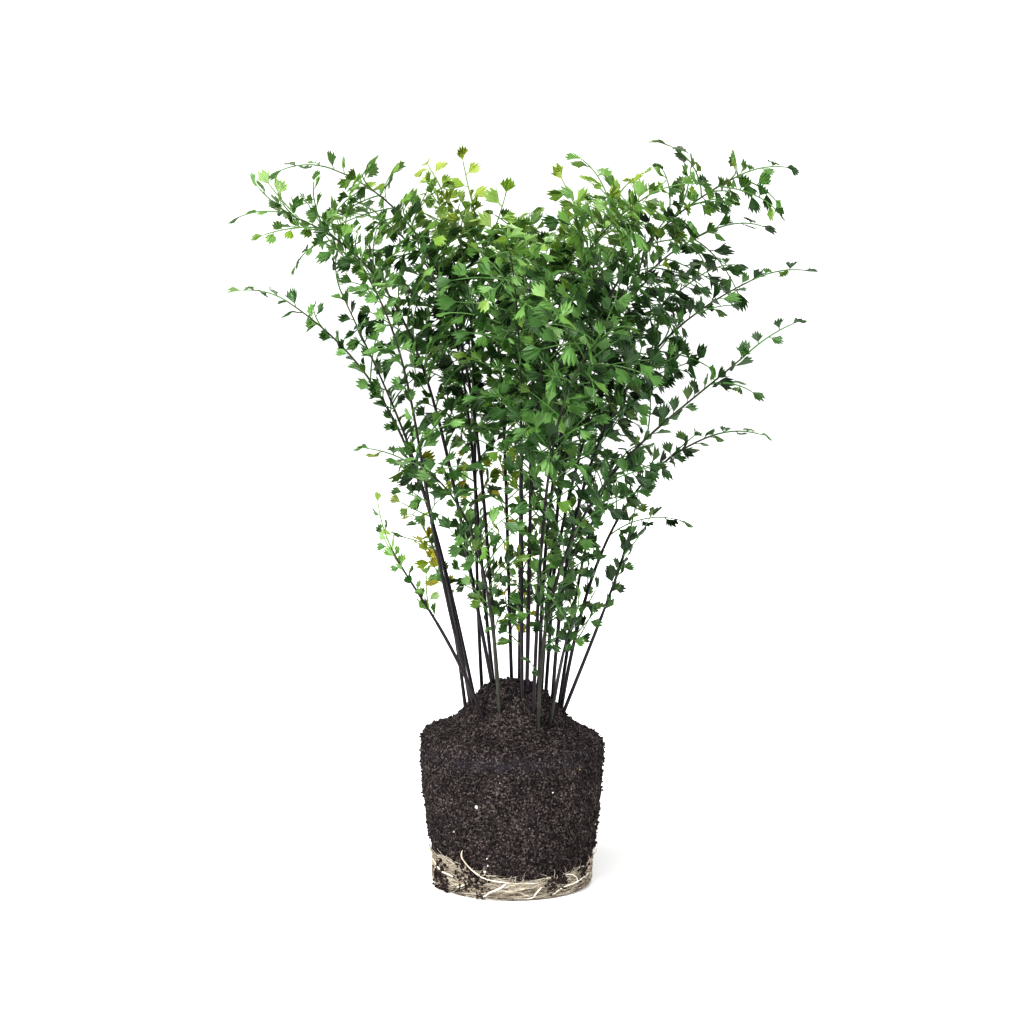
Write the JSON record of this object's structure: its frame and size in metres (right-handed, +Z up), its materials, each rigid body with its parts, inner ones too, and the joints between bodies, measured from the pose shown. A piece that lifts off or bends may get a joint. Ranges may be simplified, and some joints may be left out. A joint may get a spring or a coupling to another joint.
{
  "type": "maidenhair fern with root ball",
  "caption": "Leafy maidenhair fern with thin dark stems and small fan-shaped leaflets, standing on its bare ball of soil and roots.",
  "frame": {"origin": "centre of the flat underside of the root mat, which the plant stands on", "axes": "+Z up along the soil ball's axis, -Y towards the plant's front, +X to the right seen from the front"},
  "size_m": [0.48, 0.3582, 0.5976],
  "materials": {
    "soil": "matte",
    "root_mat": "matte",
    "stem": "satin",
    "frond_green": "satin",
    "frond_dark": "satin",
    "frond_young": "satin"
  },
  "bodies": {
    "root": {"soil_ball": "soil", "root_mat": "root_mat", "stem_low_left": "stem", "frond_low_left": "frond_young", "stem_far_left_top": "stem", "frond_far_left_top": "frond_green", "stem_upper_left": "stem", "frond_upper_left": "frond_green", "stem_left_inner": "stem", "frond_left_inner": "frond_green", "stem_back_left_top": "stem", "frond_back_left_top": "frond_dark", "stem_left_mid": "stem", "frond_left_mid": "frond_dark", "stem_far_left_mid": "stem", "frond_far_left_mid": "frond_dark", "stem_front_left": "stem", "frond_front_left": "frond_green", "stem_front_tall": "stem", "frond_front_tall": "frond_green", "stem_back_top": "stem", "frond_back_top": "frond_young", "stem_front_right": "stem", "frond_front_right": "frond_green", "stem_front_right_top": "stem", "frond_front_right_top": "frond_green", "stem_far_right_top": "stem", "frond_far_right_top": "frond_green", "stem_right_upper": "stem", "frond_right_upper": "frond_dark", "stem_back_right_upper": "stem", "frond_back_right_upper": "frond_dark", "stem_far_right": "stem", "frond_far_right": "frond_dark", "stem_right_hook": "stem", "frond_right_hook": "frond_dark", "stem_right_low": "stem", "frond_right_low": "frond_dark", "stem_right_short": "stem", "frond_right_short": "frond_dark", "stem_front_short": "stem", "frond_front_short": "frond_green", "stem_back_left": "stem", "frond_back_left": "frond_young", "stem_back_mid": "stem", "frond_back_mid": "frond_green", "stem_back_right": "stem", "frond_back_right": "frond_young", "stem_back_right_out": "stem", "frond_back_right_out": "frond_green", "stem_low_back_left": "stem", "frond_low_back_left": "frond_green", "stem_low_back_right": "stem", "frond_low_back_right": "frond_dark"}
  },
  "joints": []
}
